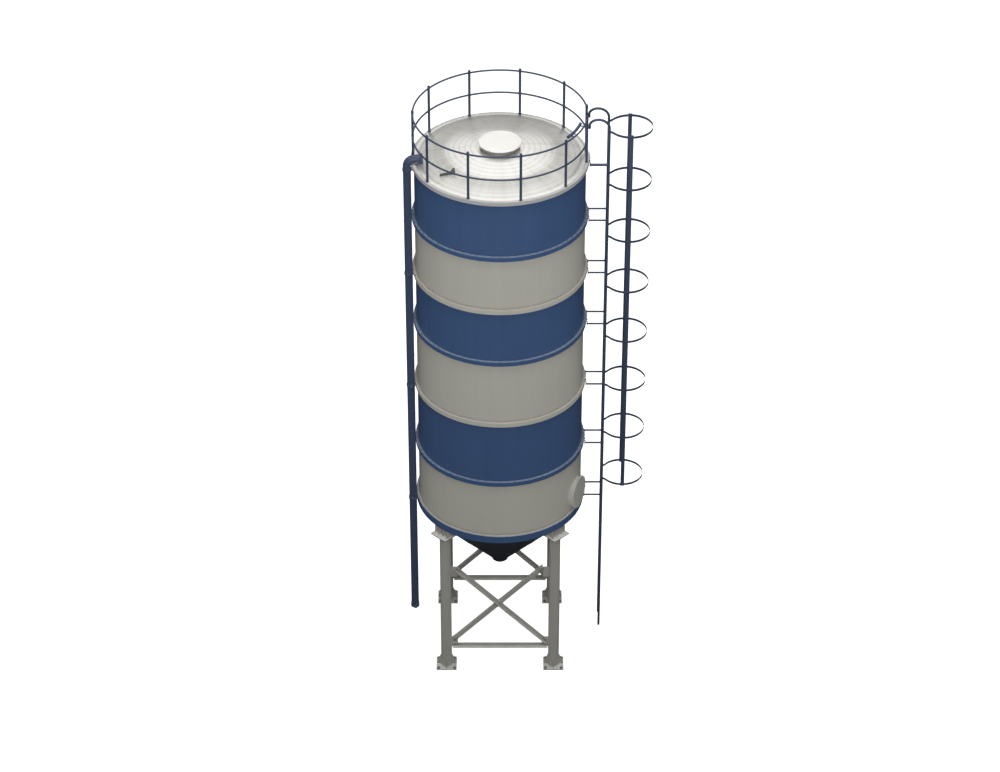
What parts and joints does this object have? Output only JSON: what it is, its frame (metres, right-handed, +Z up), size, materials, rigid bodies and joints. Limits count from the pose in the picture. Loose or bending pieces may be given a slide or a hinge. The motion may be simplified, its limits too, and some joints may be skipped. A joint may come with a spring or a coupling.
{
  "type": "cement silo",
  "caption": "Bolted steel silo for bulk powder on a braced leg frame, with a hopper below, a caged ladder and a guarded roof.",
  "frame": {"origin": "on the ground at the middle of the outer box, 500 mm towards the ladder from the shell's axis", "axes": "+Z up along the shell's axis, +X towards the ladder, -X towards the fill pipe, -Y towards the front with the manhole"},
  "size_m": [4.6364, 3.31, 12.2593],
  "materials": {
    "blue_paint": "satin paint, weathered",
    "grey_paint": "satin paint, weathered",
    "white_paint": "satin paint, weathered",
    "frame_paint": "matt paint over steel",
    "hopper_paint": "satin paint, dark"
  },
  "bodies": {
    "root": {"base_ring": "blue_paint", "bracing_front": "frame_paint", "bracing_left": "frame_paint", "bracing_rear": "frame_paint", "bracing_right": "frame_paint", "cage_hoop_1": "blue_paint", "cage_hoop_2": "blue_paint", "cage_hoop_3": "blue_paint", "cage_hoop_4": "blue_paint", "cage_hoop_5": "blue_paint", "cage_hoop_6": "blue_paint", "cage_hoop_7": "blue_paint", "cage_hoop_8": "blue_paint", "cage_strap_front": "blue_paint", "cage_strap_rear": "blue_paint", "fill_coupling": "frame_paint", "fill_pipe": "blue_paint", "fill_pipe_socket": "frame_paint", "guard_rail_1": "blue_paint", "guard_rail_2": "blue_paint", "guard_rail_3": "blue_paint", "guard_rail_4": "blue_paint", "guard_rail_5": "blue_paint", "hopper_cone": "hopper_paint", "ladder": "blue_paint", "ladder_bracket_1": "blue_paint", "ladder_bracket_2": "blue_paint", "ladder_bracket_3": "blue_paint", "ladder_bracket_4": "blue_paint", "ladder_bracket_5": "blue_paint", "ladder_bracket_6": "blue_paint", "ladder_bracket_7": "blue_paint", "leg_front_left": "frame_paint", "leg_front_right": "frame_paint", "leg_rear_left": "frame_paint", "leg_rear_right": "frame_paint", "manhole_cover": "grey_paint", "manhole_neck": "grey_paint", "outlet_flange": "hopper_paint", "pipe_clamp_1": "frame_paint", "pipe_clamp_2": "frame_paint", "pipe_clamp_3": "frame_paint", "pipe_clamp_4": "frame_paint", "roof": "white_paint", "roof_cover": "white_paint", "roof_lug": "frame_paint", "shell_ring_1": "blue_paint", "shell_ring_2": "grey_paint", "shell_ring_3": "blue_paint", "shell_ring_4": "grey_paint", "shell_ring_5": "blue_paint", "shell_ring_6": "grey_paint"}
  },
  "joints": []
}
